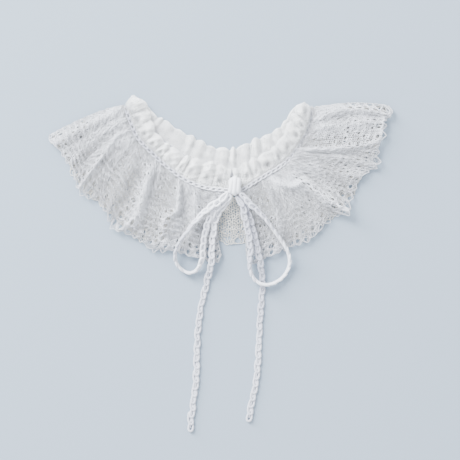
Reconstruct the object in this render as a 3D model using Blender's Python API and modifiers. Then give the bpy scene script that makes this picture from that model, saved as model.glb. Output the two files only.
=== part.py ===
# A knitted lace collar with a gathered flounce, a neck frill and a chain drawstring tied in a bow.
# It lies flat on a surface, front half on back half, the neck opening towards +Y and the tails towards -Y.
# X runs from one shoulder of the collar to the other, and Z is the height above the surface.

import math
from collections import namedtuple

import bmesh
import bpy
import numpy as np
from mathutils import Vector

MM = 0.001

# Cloth
WALL = 1.2  # mm, thickness of the knitted cloth
SEAM_HALF = 0.35  # mm, from the neck line to the edge of the cloth on each side of it
FRONT_REST = 2.2  # mm, middle of the front cloth where it touches the back
NECK_RISE = 2.2  # mm, how much higher the front cloth lies at the neck line
NECK_SLOPE = 0.5  # share of the flounce's depth over which that height is lost
NECK_FLAT = 0.16  # share of the depth that the drawstring holds down, where folds only begin
GATHER_PITCH = 8.7  # mm, from one gather of the frill to the next
GATHER_LIFT = 0.8  # mm, height of the gathers in the flounce just below the neck line
GATHER_RISE = (0.04, 0.14)  # shares of the depth between which they rise
GATHER_FADE = (0.16, 0.5)  # shares of the depth between which they fade out
HEM_PITCH = 4.0  # mm, width of a column of cloth at the front hems. Two columns make one hem mesh
BACK_HEM_PITCH = 4.6  # mm, the same at the back hem
HEM_SCALLOP = 1.2  # mm, how far the hem's points stand out
MESH_YARN = 1.15  # mm, half of the yarn between two hem meshes
FRILL_LIFT = 3.6  # mm, height of the front frill's waves at its top edge
BACK_FRILL_LIFT = 3.0  # mm
FRILL_SCALLOP = 0.05  # share of the frill's depth by which its crests reach out
FRILL_CURVE = 1.2  # power of the depth with which a frill's waves grow
FRILL_DIP = 5.0  # mm from the side fold over which the front frill comes down to the back one
CORNER_FADE = 35.0  # mm, over which the back frill's waves grow from the side folds
FOLD_FADE = 8.0  # mm, over which the front frills' waves grow from the side fold
KNOT_FADE = 3.0  # mm, over which they grow from the knot

# Drawstring, a flat crochet chain
CHAIN_WIDTH = 7.6  # mm
CHAIN_THICK = 2.2  # mm
CASING_WIDTH = 4.2  # mm, of the chain where the gathers squeeze it
CASING_THICK = 1.8  # mm
CHAIN_SHOULDER = 0.39  # share of a chain's width from its middle to where its edge rounds off
CLEAR = 0.35  # mm, between pieces that lie on each other
KNOT_SQUEEZE = 0.68  # share of the chain's width and thickness left where the knot squeezes it
SQUEEZE_LENGTH = 11.0  # mm of chain over which it spreads again

CLOTH = (0.86, 0.86, 0.85, 1.0)
CHAIN = (0.89, 0.89, 0.88, 1.0)

# The neck line of each stretch, from the left to the right of the collar. Columns in mm.
Place = namedtuple("Place", "x y")
NECK_LEFT = (
    Place(-85.5, 64.8),
    Place(-81.0, 51.3),
    Place(-74.0, 35.5),
    Place(-60.5, 20.7),
    Place(-46.8, 8.3),
    Place(-30.6, -2.9),
    Place(-13.5, -9.7),
    Place(8.6, -12.2),
)
NECK_RIGHT = (
    Place(18.4, -12.8),
    Place(28.8, -6.3),
    Place(43.2, 2.7),
    Place(57.6, 11.7),
    Place(68.4, 24.3),
    Place(76.5, 36.9),
    Place(81.5, 49.5),
    Place(82.8, 64.8),
)
NECK_BACK = (
    Place(-84.6, 63.9),
    Place(-69.3, 48.6),
    Place(-48.6, 29.7),
    Place(-27.0, 14.8),
    Place(-3.6, 3.4),
    Place(20.7, 3.4),
    Place(43.2, 15.8),
    Place(62.1, 36.0),
    Place(74.7, 54.0),
    Place(81.9, 64.8),
)

# The folds of the flounce. Each row is a crest or a hollow that runs from the neck line to the hem.
# along is the distance on the neck line in mm, then the middle and the hem end of the fold, then how far the
# cloth lifts there above its lowest lie.
Fold = namedtuple("Fold", "along mid_x mid_y hem_x hem_y mid_lift hem_lift")
FOLDS_LEFT = (
    Fold(0.0, -120.6, 54.0, -154.8, 36.0, 0.0, 0.0),
    Fold(4.6, -118.8, 45.9, -150.3, 29.7, 4.2, 3.0),
    Fold(10.2, -117.0, 37.8, -142.5, 22.0, 1.4, 1.2),
    Fold(15.0, -115.2, 30.6, -134.0, 11.5, 3.6, 3.0),
    Fold(20.0, -110.5, 24.3, -130.5, 2.7, 1.6, 1.4),
    Fold(24.5, -102.6, 24.0, -126.0, -11.7, 7.6, 6.4),
    Fold(32.5, -94.5, 9.0, -108.0, -24.3, 1.2, 1.2),
    Fold(41.5, -86.4, 1.8, -101.7, -33.3, 5.0, 3.6),
    Fold(48.0, -78.3, -6.0, -98.0, -41.0, 1.6, 1.6),
    Fold(55.5, -70.2, -13.5, -93.6, -46.8, 8.0, 6.6),
    Fold(64.0, -61.2, -20.7, -73.8, -55.8, 1.2, 1.2),
    Fold(73.0, -52.2, -27.0, -67.5, -61.0, 3.4, 2.6),
    Fold(81.0, -41.4, -31.5, -60.5, -64.2, 7.6, 5.6),
    Fold(91.0, -31.5, -36.0, -39.6, -66.6, 1.2, 1.2),
    Fold(99.0, -22.5, -39.6, -25.2, -71.1, 4.4, 3.8),
    Fold(107.5, -14.4, -42.3, -14.4, -72.9, 1.6, 1.4),
    Fold(114.0, -6.3, -43.2, -5.4, -76.0, 2.6, 2.2),
    Fold(118.0, -1.8, -44.1, 1.8, -71.1, 1.2, 1.2),
)
FOLDS_RIGHT = (
    Fold(0.0, 21.6, -44.1, 24.3, -73.8, 1.2, 1.4),
    Fold(6.0, 31.5, -43.2, 32.4, -77.0, 3.0, 3.0),
    Fold(13.8, 40.5, -40.5, 41.4, -72.9, 1.6, 1.6),
    Fold(20.3, 49.5, -36.0, 50.4, -69.3, 4.2, 3.6),
    Fold(26.8, 57.6, -33.3, 61.2, -63.0, 1.2, 1.2),
    Fold(31.0, 64.8, -28.8, 74.7, -58.5, 4.6, 4.4),
    Fold(35.4, 74.7, -24.3, 88.5, -51.0, 1.2, 1.6),
    Fold(39.7, 80.1, -18.0, 99.0, -34.5, 2.4, 2.0),
    Fold(43.0, 81.9, -9.9, 116.1, -31.5, 8.2, 7.4),
    Fold(47.0, 90.0, -2.7, 118.8, -13.5, 1.2, 1.2),
    Fold(51.0, 95.4, 6.3, 127.8, 0.9, 3.6, 3.2),
    Fold(54.5, 99.0, 12.6, 134.1, 6.3, 1.6, 1.6),
    Fold(58.5, 102.6, 18.0, 142.2, 9.9, 3.2, 3.6),
    Fold(62.0, 106.2, 20.5, 141.3, 19.0, 1.2, 1.2),
    Fold(66.0, 108.0, 25.4, 143.4, 31.5, 8.2, 7.4),
    Fold(74.5, 111.6, 39.6, 145.8, 41.4, 1.6, 1.8),
    Fold(82.0, 113.4, 47.7, 147.6, 49.0, 3.6, 3.6),
    Fold(89.0, 115.2, 54.9, 149.2, 52.0, 1.2, 1.2),
    Fold(95.3, 117.0, 61.2, 153.9, 55.0, 4.6, 4.2),
    Fold(104.0, 117.0, 66.2, 151.2, 63.9, 0.0, 0.0),
)
# In the back, which rests on the surface, a lift under zero is cloth that lies flat.
FOLDS_BACK = (
    Fold(0.0, -118.8, 52.2, -152.1, 36.0, -0.9, -0.9),
    Fold(8.9, -110.7, 31.5, -138.6, 17.1, 0.9, 0.9),
    Fold(21.6, -97.2, 15.3, -124.2, -8.1, -0.9, -0.9),
    Fold(36.9, -81.0, 1.8, -102.6, -27.0, 0.9, 0.9),
    Fold(49.6, -67.5, -9.9, -88.2, -43.2, -0.9, -0.9),
    Fold(62.6, -51.3, -18.9, -66.6, -56.7, 0.9, 0.9),
    Fold(75.1, -35.1, -24.3, -43.2, -61.2, -0.9, -0.9),
    Fold(88.4, -18.0, -26.1, -20.7, -60.3, 0.9, 0.9),
    Fold(100.5, -1.8, -27.0, -0.9, -57.5, -0.9, -0.9),
    Fold(113.0, 11.7, -27.9, 12.6, -59.4, 0.9, 0.9),
    Fold(124.8, 25.2, -26.1, 26.1, -60.3, -0.9, -0.9),
    Fold(137.4, 41.4, -22.5, 46.8, -61.2, 0.9, 0.9),
    Fold(150.2, 57.6, -16.2, 69.3, -55.8, -0.9, -0.9),
    Fold(164.3, 74.7, -4.5, 88.2, -44.1, 0.9, 0.9),
    Fold(176.3, 89.1, 8.1, 111.6, -26.1, -0.9, -0.9),
    Fold(187.3, 99.9, 24.3, 126.0, 0.9, 0.9, 0.9),
    Fold(198.3, 108.0, 42.3, 139.5, 24.3, -0.9, -0.9),
    Fold(206.0, 111.6, 54.9, 145.8, 49.5, 0.9, 0.9),
    Fold(211.3, 115.2, 64.8, 149.4, 63.0, -0.9, -0.9),
)

# The top edge of each frill: where it stands off the neck line, and its place. Columns in mm.
Edge = namedtuple("Edge", "along x y")
FRILL_LEFT = (
    Edge(0.0, -77.4, 75.2),
    Edge(7.0, -67.5, 66.2),
    Edge(15.5, -63.5, 57.6),
    Edge(33.0, -59.9, 44.1),
    Edge(42.0, -56.0, 37.4),
    Edge(52.0, -48.6, 30.6),
    Edge(71.0, -35.1, 20.7),
    Edge(91.0, -20.7, 14.4),
    Edge(109.0, -6.0, 11.2),
    Edge(125.0, 6.3, 7.6),
)
FRILL_RIGHT = (
    Edge(0.0, 15.6, 7.2),
    Edge(9.4, 22.0, 11.2),
    Edge(31.0, 38.7, 19.8),
    Edge(44.0, 47.7, 26.1),
    Edge(54.0, 53.1, 31.5),
    Edge(66.0, 59.0, 41.4),
    Edge(77.5, 63.5, 49.0),
    Edge(89.0, 67.0, 57.6),
    Edge(104.0, 73.8, 68.6),
)
FRILL_BACK = (
    Edge(0.0, -75.6, 76.5),
    Edge(10.0, -64.8, 62.6),
    Edge(21.6, -57.6, 54.5),
    Edge(37.0, -48.6, 50.4),
    Edge(49.6, -39.2, 44.1),
    Edge(75.0, -18.5, 32.4),
    Edge(100.5, 0.0, 25.2),
    Edge(113.0, 9.5, 24.3),
    Edge(124.8, 18.9, 27.5),
    Edge(150.0, 39.6, 36.9),
    Edge(176.0, 54.9, 45.5),
    Edge(198.0, 65.7, 60.8),
    Edge(211.0, 74.7, 68.6),
)

# Depths at which the cloth has its rows of points, as shares of the depth from the neck line.
FLOUNCE_ROWS = (0.0, 0.07, 0.17, 0.29, 0.42, 0.55, 0.68, 0.81, 0.905, 1.0)
BACK_ROWS = (0.0, 0.2, 0.4, 0.6, 0.78, 0.9, 1.0)
FRILL_ROWS = (0.0, 0.33, 0.67, 1.0)
BACK_FRILL_ROWS = (0.0, 0.5, 1.0)
# Rows of cloth that are open hem mesh, counted from the hem, each with the columns from one mesh to the next.
FRONT_MESH_ROWS = ((0, 2), (1, 4))
BACK_MESH_ROWS = ((0, 2),)
FRILL_COLUMNS = 5  # columns of cloth in each gather of a front frill
BACK_FRILL_COLUMNS = 4

# Routes of the loose chain, in mm. tilt is in degrees, 0 where the chain lies flat, 90 where it stands on edge.
Route = namedtuple("Route", "x y z tilt")
TAIL_LEFT = (
    Route(10.9, -17.6, 7.6, 0),
    Route(3.2, -26.0, 7.6, 0),
    Route(-1.8, -33.3, 7.3, 0),
    Route(-5.2, -44.1, 7.2, 0),
    Route(-6.6, -56.7, 7.1, 0),
    Route(-7.2, -67.5, 7.1, 0),
    Route(-8.2, -77.5, 6.6, 0),
    Route(-10.4, -88.2, 2.9, 0),
    Route(-13.1, -99.0, 1.3, 0),
    Route(-15.8, -110.7, 1.2, 0),
    Route(-18.0, -122.4, 1.2, 0),
    Route(-19.8, -134.1, 1.2, 0),
    Route(-20.7, -146.7, 1.2, 0),
    Route(-20.7, -160.2, 1.2, 0),
    Route(-21.2, -173.7, 1.2, 0),
    Route(-22.0, -187.2, 1.2, 0),
    Route(-23.9, -200.7, 1.2, 0),
    Route(-25.7, -214.2, 1.2, 0),
    Route(-27.0, -228.6, 1.2, 0),
)
TAIL_RIGHT = (
    Route(16.2, -16.9, 7.7, 0),
    Route(23.0, -28.0, 8.0, 0),
    Route(27.0, -37.8, 7.9, 0),
    Route(30.6, -50.4, 7.9, 0),
    Route(33.3, -63.0, 7.8, 0),
    Route(36.0, -75.6, 7.4, 0),
    Route(37.8, -88.2, 2.9, 0),
    Route(38.1, -101.7, 1.3, 0),
    Route(36.9, -115.2, 1.2, 0),
    Route(36.0, -128.7, 1.2, 0),
    Route(35.1, -142.2, 1.2, 0),
    Route(34.7, -155.7, 1.2, 0),
    Route(34.2, -166.5, 1.2, 0),
    Route(32.4, -180.9, 1.2, 0),
    Route(30.2, -193.5, 1.2, 0),
    Route(27.9, -205.2, 1.2, 0),
    Route(25.7, -219.6, 1.2, 0),
)
LOOP_LEFT = (
    Route(7.3, -14.9, 12.2, 0),
    Route(1.4, -20.2, 12.8, 0),
    Route(-7.2, -26.5, 12.8, 5),
    Route(-15.3, -32.8, 12.5, 30),
    Route(-22.5, -40.5, 12.4, 55),
    Route(-28.8, -48.6, 12.4, 70),
    Route(-35.1, -56.7, 11.6, 78),
    Route(-38.7, -63.9, 10.0, 82),
    Route(-40.5, -71.1, 7.7, 85),
    Route(-38.7, -78.3, 5.4, 88),
    Route(-33.3, -84.2, 4.3, 90),
    Route(-27.0, -86.4, 4.1, 90),
    Route(-21.6, -84.2, 4.7, 80),
    Route(-17.6, -78.3, 6.8, 55),
    Route(-15.8, -70.2, 8.9, 30),
    Route(-14.9, -61.2, 9.8, 15),
    Route(-13.5, -52.2, 10.0, 5),
    Route(-11.5, -44.1, 10.1, 0),
    Route(-7.8, -36.0, 10.2, 0),
    Route(-2.6, -28.4, 10.3, 0),
    Route(4.4, -22.0, 10.1, 0),
    Route(9.6, -17.1, 9.8, 0),
)
LOOP_RIGHT = (
    Route(15.4, -18.0, 10.6, 0),
    Route(20.2, -27.0, 11.2, 0),
    Route(22.5, -36.9, 11.2, 0),
    Route(24.6, -46.8, 11.2, 5),
    Route(26.6, -56.7, 11.1, 15),
    Route(27.3, -65.7, 10.7, 30),
    Route(26.6, -73.8, 9.4, 50),
    Route(26.8, -81.9, 7.0, 75),
    Route(29.2, -89.6, 6.4, 84),
    Route(34.2, -95.0, 6.9, 90),
    Route(41.0, -97.0, 6.9, 90),
    Route(48.6, -95.4, 5.0, 90),
    Route(56.3, -90.4, 4.3, 90),
    Route(61.2, -82.8, 4.9, 90),
    Route(62.6, -74.7, 6.8, 88),
    Route(60.3, -65.7, 9.4, 86),
    Route(54.9, -57.0, 11.6, 84),
    Route(48.6, -48.2, 12.9, 78),
    Route(42.3, -40.0, 13.6, 62),
    Route(35.1, -32.0, 13.9, 35),
    Route(28.2, -25.0, 14.0, 10),
    Route(18.7, -15.2, 12.4, 0),
)
TAIL_POINTS = 38  # points along a tail
LOOP_POINTS = 40  # points along a loop
CASING_POINTS = 30  # points along a threaded stretch

KNOT_PLACE = (13.2, -8.2, 10.2)  # mm, middle of the knot
KNOT_SIZE = (10.6, 17.6, 9.6)  # mm
KNOT_FULLNESS = 0.5  # 1 makes the knot an ellipsoid, 0 a box
KNOT_TAPER = 0.34  # share of its width that the knot loses from its middle towards the neck opening
KNOT_TURNS = 6  # ridges of chain round the knot
KNOT_RIDGE = 0.05  # share of its radius by which they stand out
BACK_CASING_ENDS = 9.0  # mm left free at each end of the back neck line, by the side folds
FRONT_CASING_START = 1.5  # mm, from the side fold to the front stretch of the drawstring


def smooth(rows, t):
    # Value at t, counted in rows, of the smooth curve through the rows.
    rows = np.asarray(rows, float)
    i = int(min(max(math.floor(t), 0), len(rows) - 2))
    f = t - i
    here, there = rows[i], rows[i + 1]
    before = rows[i - 1] if i > 0 else 2 * here - there
    after = rows[i + 2] if i + 2 < len(rows) else 2 * there - here
    bend = 2 * before - 5 * here + 4 * there - after
    twist = 3 * (here - there) + after - before
    return here + 0.5 * f * (there - before + f * (bend + f * twist))


def step(low, high, value):
    # 0 below low, 1 above high, and a smooth rise between them.
    f = min(max((value - low) / (high - low), 0.0), 1.0)
    return f * f * (3 - 2 * f)


def wave(along):
    # 1 on the crest of a gather, 0 between two gathers.
    return 0.5 - 0.5 * math.cos(2 * math.pi * along / GATHER_PITCH)


class Line:
    # A smooth curve through places, read by the distance along it.

    def __init__(self, places):
        fine = np.linspace(0, len(places) - 1, 40 * len(places))
        self.points = np.array([smooth(places, t) for t in fine])
        steps = np.linalg.norm(np.diff(self.points[:, :3], axis=0), axis=1)
        self.far = np.concatenate([[0], np.cumsum(steps)])
        self.length = self.far[-1]

    def at(self, distance):
        return np.array([np.interp(distance, self.far, column) for column in self.points.T])


def through_three(start, middle, end, share):
    # The parabola through three values at shares 0, a half and 1.
    return (
        start * (1 - share) * (1 - 2 * share) + middle * 4 * share * (1 - share) + end * share * (2 * share - 1)
    )


def cloth_material(name, colour):
    material = bpy.data.materials.new(name)
    material.use_nodes = True
    shader = material.node_tree.nodes["Principled BSDF"]
    shader.inputs["Base Color"].default_value = colour
    shader.inputs["Roughness"].default_value = 0.92
    shader.inputs["Metallic"].default_value = 0.0
    return material


def add_object(name, data, colour):
    thing = bpy.data.objects.new(name, data)
    thing.data.materials.append(cloth_material(name, colour))
    collar.objects.link(thing)
    return thing


def cloth(name, columns, rows, place, offset, mesh_rows=()):
    # A wall of cloth on a grid whose points place() puts. mesh_rows names the rows that are open hem mesh,
    # each with the number of columns from one mesh to the next.
    bm = bmesh.new()
    across, down = len(columns) - 1, len(rows) - 1
    bmesh.ops.create_grid(bm, x_segments=across, y_segments=down, size=1)
    spots = {v: (round((v.co.x + 1) / 2 * across), round((v.co.y + 1) / 2 * down)) for v in bm.verts}
    between = []
    for edge in bm.edges:
        (c0, r0), (c1, r1) = (spots[v] for v in edge.verts)
        if c0 == c1:
            between += [
                edge for row, pitch in mesh_rows if min(r0, r1) == row and c0 % pitch == 1 and c0 < across
            ]
    for vertex, (c, r) in spots.items():
        vertex.co = Vector(place(columns[c], rows[r], c, r)) * MM
    if between:
        bmesh.ops.dissolve_edges(bm, edges=between, use_verts=False)
        meshes = [face for face in bm.faces if len(face.verts) > 4]
        bmesh.ops.inset_individual(bm, faces=meshes, thickness=MESH_YARN * MM, use_even_offset=True)
        bmesh.ops.delete(bm, geom=meshes, context="FACES")
        for vertex in bm.verts:
            vertex.co.z = max(vertex.co.z, 0.0)
    data = bpy.data.meshes.new(name)
    bm.to_mesh(data)
    bm.free()
    data.shade_smooth()
    thing = add_object(name, data, CLOTH)
    wall = thing.modifiers.new("Wall", "SOLIDIFY")
    wall.thickness = WALL * MM
    wall.offset = offset
    return thing


def flounce_columns(folds, pitch):
    # Places between the folds, counted in rows of the table, an even number of columns from fold to fold.
    columns = [0.0]
    for i, (one, other) in enumerate(zip(folds, folds[1:])):
        gap = math.hypot(other.hem_x - one.hem_x, other.hem_y - one.hem_y)
        pairs = max(1, round(gap / (2 * pitch)))
        columns += [i + (k + 1) / (2 * pairs) for k in range(2 * pairs)]
    return columns


def flounce(name, folds, neck, pitch, rows, rest, neck_rise, gather, offset, mesh_rows):
    line = Line(neck)

    def place(t, v, column, row):
        fold = Fold(*smooth(folds, t))
        start = line.at(fold.along)[:2]
        middle = np.array([fold.mid_x, fold.mid_y])
        start = start + SEAM_HALF * (middle - start) / np.linalg.norm(middle - start)
        end = np.array([fold.hem_x, fold.hem_y])
        spot = through_three(start, middle, end, v)
        if v == rows[0] and column % 2:
            spot = spot + HEM_SCALLOP * (end - middle) / np.linalg.norm(end - middle)
        lift = max(0.0, through_three(0.0, fold.mid_lift, fold.hem_lift, v)) * step(0.0, NECK_FLAT, v)
        gathers = gather * wave(fold.along) * step(*GATHER_RISE, v) * (1 - step(*GATHER_FADE, v))
        height = rest + neck_rise * (1 - step(0.0, NECK_SLOPE, v)) + lift + gathers
        return spot[0], spot[1], height

    return cloth(name, flounce_columns(folds, pitch), rows, place, offset, mesh_rows)


def frill(name, edge, neck, rows, rest, lift, per_gather, fades, offset):
    # A gathered strip on the neck side of the neck line. fades holds the distances from its two ends over
    # which its waves grow.
    line = Line(neck)
    start, end = edge[0].along, edge[-1].along
    gathers = round((end - start) / GATHER_PITCH)
    columns = np.linspace(start, end, gathers * per_gather + 1)

    def place(along, v, column, row):
        base = line.at(along)[:2]
        t = np.interp(along, [row.along for row in edge], range(len(edge)))
        top = smooth(edge, t)[1:]
        across = (top - base) / np.linalg.norm(top - base)
        crest = 0.5 - 0.5 * math.cos(2 * math.pi * gathers * (along - start) / (end - start))
        grown = step(0.0, fades[0], along - start) * step(0.0, fades[1], end - along)
        reach = v * (1 + FRILL_SCALLOP * (2 * crest - 1))
        spot = base + SEAM_HALF * across + (top - base - SEAM_HALF * across) * reach
        return spot[0], spot[1], rest(along - start, end - along, v) + lift * grown * crest * v**FRILL_CURVE

    return cloth(name, columns, rows, place, offset)


def flat_profile(name, width, thick):
    # The cross section of a flat chain, which guides a curve's bevel.
    outline = bpy.data.curves.new(name, "CURVE")
    outline.dimensions = "2D"
    spline = outline.splines.new("POLY")
    side, shoulder, top = width / 2, width * CHAIN_SHOULDER, thick / 2
    corners = ((side, 0), (shoulder, -top), (-shoulder, -top), (-side, 0), (-shoulder, top), (shoulder, top))
    spline.points.add(len(corners) - 1)
    for point, (x, y) in zip(spline.points, corners):
        point.co = (x * MM, y * MM, 0, 1)
    spline.use_cyclic_u = True
    guide = bpy.data.objects.new(name, outline)
    guide.hide_render = True
    guide.display_type = "WIRE"
    guides.objects.link(guide)
    return guide


def chain(name, route, count, profile, squeezed_ends=0):
    # A flat chain along the smooth curve through its route. The knot squeezes its start, or both its ends.
    line = Line(route)
    curve = bpy.data.curves.new(name, "CURVE")
    curve.dimensions = "3D"
    curve.twist_mode = "Z_UP"
    curve.bevel_mode = "OBJECT"
    curve.bevel_object = profile
    curve.use_fill_caps = True
    spline = curve.splines.new("POLY")
    spline.points.add(count - 1)
    for i, point in enumerate(spline.points):
        far = line.length * i / (count - 1)
        x, y, z, tilt = line.at(far)
        point.co = (x * MM, y * MM, z * MM, 1)
        point.tilt = math.radians(tilt)
        for from_knot in (far, line.length - far)[:squeezed_ends]:
            point.radius *= KNOT_SQUEEZE + (1 - KNOT_SQUEEZE) * step(0.0, SQUEEZE_LENGTH, from_knot)
    return add_object(name, curve, CHAIN)


def casing_route(neck, start, end, height):
    # The stretch of a neck line that the drawstring follows.
    line = Line(neck)
    return [Route(*line.at(far), height, 0) for far in np.linspace(start, line.length - end, CASING_POINTS)]


def knot(name):
    # A soft lump of chain turns that run over the knot from the neck side down, narrower at that side.
    bm = bmesh.new()
    bmesh.ops.create_uvsphere(bm, u_segments=3 * KNOT_TURNS, v_segments=8, radius=1)
    for vertex in bm.verts:
        along = vertex.co.z
        radius = math.hypot(vertex.co.x, vertex.co.y)
        angle = math.atan2(vertex.co.y, vertex.co.x)
        wide = radius**KNOT_FULLNESS * (1 + KNOT_RIDGE * math.cos(KNOT_TURNS * angle))
        vertex.co.x = KNOT_SIZE[0] / 2 * wide * math.cos(angle) * (1 - KNOT_TAPER * max(along, 0.0))
        vertex.co.z = KNOT_SIZE[2] / 2 * wide * math.sin(angle)
        vertex.co.y = KNOT_SIZE[1] / 2 * math.copysign(abs(along) ** KNOT_FULLNESS, along)
    bmesh.ops.reverse_faces(bm, faces=bm.faces)
    bmesh.ops.translate(bm, vec=KNOT_PLACE, verts=bm.verts)
    bmesh.ops.scale(bm, vec=(MM, MM, MM), verts=bm.verts)
    data = bpy.data.meshes.new(name)
    bm.to_mesh(data)
    bm.free()
    data.shade_smooth()
    return add_object(name, data, CHAIN)


for old in list(bpy.data.objects):
    bpy.data.objects.remove(old, do_unlink=True)

collar = bpy.data.collections.new("lace_collar")
guides = bpy.data.collections.new("guides")
bpy.context.scene.collection.children.link(collar)
bpy.context.scene.collection.children.link(guides)

# Flounce. Its rows run from the hem up to the neck line, so that the cloth faces up.
front_rows = FLOUNCE_ROWS[::-1]
back_rows = BACK_ROWS[::-1]
for side, folds, neck in (("left", FOLDS_LEFT, NECK_LEFT), ("right", FOLDS_RIGHT, NECK_RIGHT)):
    flounce(f"flounce_front_{side}", folds, neck, HEM_PITCH, front_rows, FRONT_REST, NECK_RISE, GATHER_LIFT, 0,
            FRONT_MESH_ROWS)
flounce("flounce_back", FOLDS_BACK, NECK_BACK, BACK_HEM_PITCH, back_rows, 0.0, 0.0, 0.0, 1, BACK_MESH_ROWS)


def front_frill_rest(from_fold, depth):
    # The front frill dips to the back one at the side fold.
    return FRONT_REST + NECK_RISE * (1 - depth * (1 - step(0.0, FRILL_DIP, from_fold)))


frill("frill_front_left", FRILL_LEFT, NECK_LEFT, FRILL_ROWS,
      lambda left, right, v: front_frill_rest(left, v), FRILL_LIFT, FRILL_COLUMNS, (FOLD_FADE, KNOT_FADE), 0)
frill("frill_front_right", FRILL_RIGHT, NECK_RIGHT, FRILL_ROWS,
      lambda left, right, v: front_frill_rest(right, v), FRILL_LIFT, FRILL_COLUMNS, (KNOT_FADE, FOLD_FADE), 0)
frill("frill_back", FRILL_BACK, NECK_BACK, BACK_FRILL_ROWS,
      lambda left, right, v: 0.0, BACK_FRILL_LIFT, BACK_FRILL_COLUMNS, (CORNER_FADE, CORNER_FADE), 1)

# Drawstring
casing_profile = flat_profile("casing_profile", CASING_WIDTH, CASING_THICK)
chain_profile = flat_profile("chain_profile", CHAIN_WIDTH, CHAIN_THICK)
on_front = FRONT_REST + NECK_RISE + (WALL + CASING_THICK) / 2 + CLEAR
on_back = WALL + CASING_THICK / 2 + CLEAR
chain("drawstring_left", casing_route(NECK_LEFT, FRONT_CASING_START, 0.0, on_front), CASING_POINTS,
      casing_profile)
chain("drawstring_right", casing_route(NECK_RIGHT, 0.0, FRONT_CASING_START, on_front), CASING_POINTS,
      casing_profile)
chain("drawstring_back", casing_route(NECK_BACK, BACK_CASING_ENDS, BACK_CASING_ENDS, on_back),
      CASING_POINTS, casing_profile)
knot("bow_knot")
chain("bow_loop_left", LOOP_LEFT, LOOP_POINTS, chain_profile, squeezed_ends=2)
chain("bow_loop_right", LOOP_RIGHT, LOOP_POINTS, chain_profile, squeezed_ends=2)
chain("tail_left", TAIL_LEFT, TAIL_POINTS, chain_profile, squeezed_ends=1)
chain("tail_right", TAIL_RIGHT, TAIL_POINTS, chain_profile, squeezed_ends=1)
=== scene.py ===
# A knitted lace collar, laid flat with its chain drawstring tied in a bow.
# Lengths are in mm until a mesh is made. The camera, the floor and the lights are in metres.
import math

import bmesh
import bpy
import numpy as np
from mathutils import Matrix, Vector
from mathutils.kdtree import KDTree


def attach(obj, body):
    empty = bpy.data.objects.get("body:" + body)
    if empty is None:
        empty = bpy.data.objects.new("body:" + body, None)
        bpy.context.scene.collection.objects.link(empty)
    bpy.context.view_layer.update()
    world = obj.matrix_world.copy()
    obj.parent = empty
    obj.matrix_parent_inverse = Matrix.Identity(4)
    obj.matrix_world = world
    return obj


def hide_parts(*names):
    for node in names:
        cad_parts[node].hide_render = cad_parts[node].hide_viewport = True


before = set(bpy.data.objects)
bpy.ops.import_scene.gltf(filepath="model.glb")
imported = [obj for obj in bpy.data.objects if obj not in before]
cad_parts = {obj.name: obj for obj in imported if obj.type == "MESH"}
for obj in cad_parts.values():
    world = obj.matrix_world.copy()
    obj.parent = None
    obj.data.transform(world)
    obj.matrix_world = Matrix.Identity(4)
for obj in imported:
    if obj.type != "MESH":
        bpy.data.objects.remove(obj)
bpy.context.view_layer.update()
mm = 0.001
print("frame loaded")

# Camera, straight above the collar
view = {"height": 1.3, "pictureWidth": 0.414, "middle": (0.009, -0.0477), "sensor": 36.0, "clipEnd": 50.0}
cameraData = bpy.data.cameras.new("camera")
cameraData.sensor_width = view["sensor"]
cameraData.lens = view["sensor"] * view["height"] / view["pictureWidth"]
cameraData.clip_end = view["clipEnd"]
camera = bpy.data.objects.new("camera", cameraData)
camera.location = (*view["middle"], view["height"])
bpy.context.scene.collection.objects.link(camera)
bpy.context.scene.camera = camera
print("camera set")

# Curves, ramps and waves
routeSteps = 40  # steps of a smooth route for each of its places
creaseSteps = 6  # and of a crease
lookAhead = 0.5  # mm each way, from which a route's direction is read
waveCount = 5  # low waves in a cloth
anyTurn = 6.28  # radians, in which each wave starts at random


def smoothRow(rows, t):
    # value at t, counted in rows, of the smooth curve through the rows
    rows = np.asarray(rows, float)
    i = int(min(max(math.floor(t), 0), len(rows) - 2))
    f = t - i
    here, there = rows[i], rows[i + 1]
    before = rows[i - 1] if i > 0 else 2 * here - there
    after = rows[i + 2] if i + 2 < len(rows) else 2 * there - here
    bend = 2 * before - 5 * here + 4 * there - after
    twist = 3 * (here - there) + after - before
    return here + 0.5 * f * (there - before + f * (bend + f * twist))


def ramp(low, high, value):
    # from 0 at low to 1 at high, with soft ends
    share = np.clip((value - low) / (high - low), 0, 1)
    return share * share * (3 - 2 * share)


def hump(up, down, value):
    # from 0 to 1 over the span up, and back to 0 over the span down
    return ramp(*up, value) * (1 - ramp(*down, value))


def throughThree(start, middle, end, share):
    # the even curve from start to end that passes through middle half way
    first = start * (1 - share) * (1 - 2 * share)
    second = middle * 4 * share * (1 - share)
    return first + second + end * share * (2 * share - 1)


def readTable(marks, table, places):
    # every column of the table, read at the places between its marks
    return np.column_stack([np.interp(places, marks, column) for column in table.T])


def softWaves(rng, count, length, size):
    # waves in any direction, about so long and so high
    waves = []
    for k in range(count):
        across, down = rng.normal(0, 1, 2) * 2 * math.pi / length
        waves.append((across, down, rng.uniform(0, anyTurn), size))
    return waves


def waveHeight(waves, x, y):
    return sum(size * np.sin(across * x + down * y + turn) for across, down, turn, size in waves)


class PathLine:
    # a smooth curve through places, read by the distance along it
    def __init__(self, places):
        fine = np.linspace(0, len(places) - 1, routeSteps * len(places))
        self.points = np.array([smoothRow(places, t) for t in fine])
        steps = np.linalg.norm(np.diff(self.points[:, :3], axis=0), axis=1)
        self.far = np.concatenate([[0], np.cumsum(steps)])
        self.length = self.far[-1]

    def at(self, distance):
        return np.array([np.interp(distance, self.far, column) for column in self.points.T])


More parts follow.
